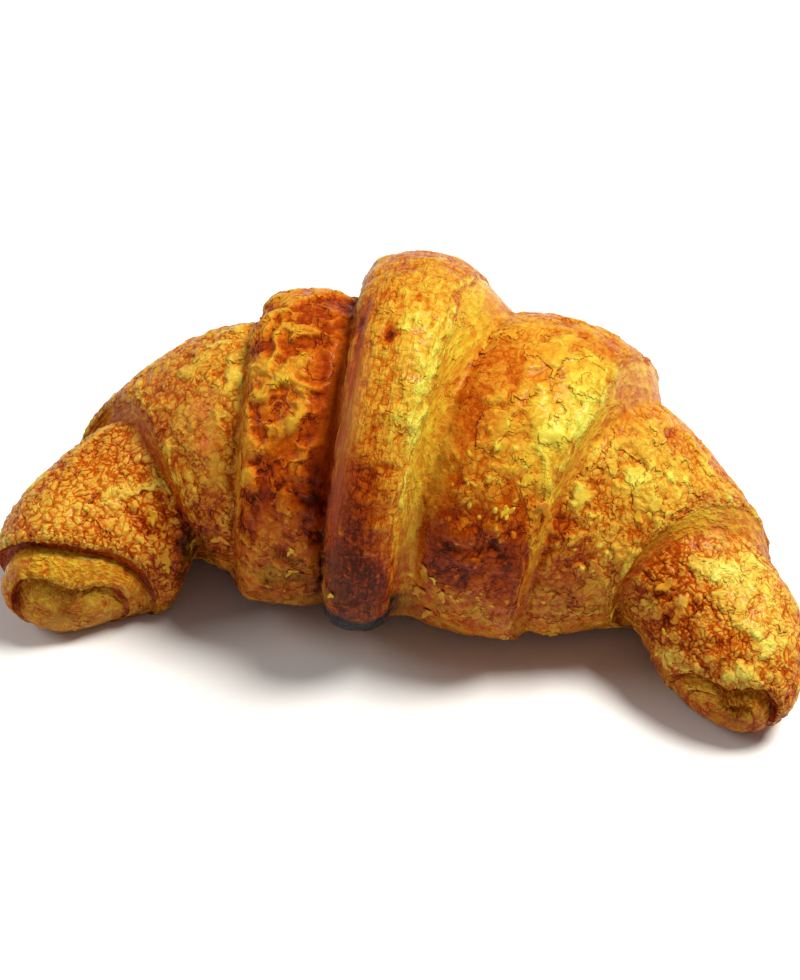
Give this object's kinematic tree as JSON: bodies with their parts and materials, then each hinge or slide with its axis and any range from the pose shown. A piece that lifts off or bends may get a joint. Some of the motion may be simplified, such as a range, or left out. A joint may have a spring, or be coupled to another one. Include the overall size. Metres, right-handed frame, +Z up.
{
  "type": "croissant",
  "caption": "Chubby baked croissant, a crescent of flaky golden-brown wraps with a proud middle band and blunt horns.",
  "frame": {"origin": "middle of the box seen from above, at the height of the flat foot", "axes": "+X from the left horn to the right horn, -Y towards the tips of the horns, +Z up"},
  "size_m": [0.1606, 0.079, 0.0713],
  "materials": {
    "crust": "egg-washed, satin to glossy, golden yellow to red-brown"
  },
  "bodies": {
    "root": {"croissant": "crust"}
  },
  "joints": []
}
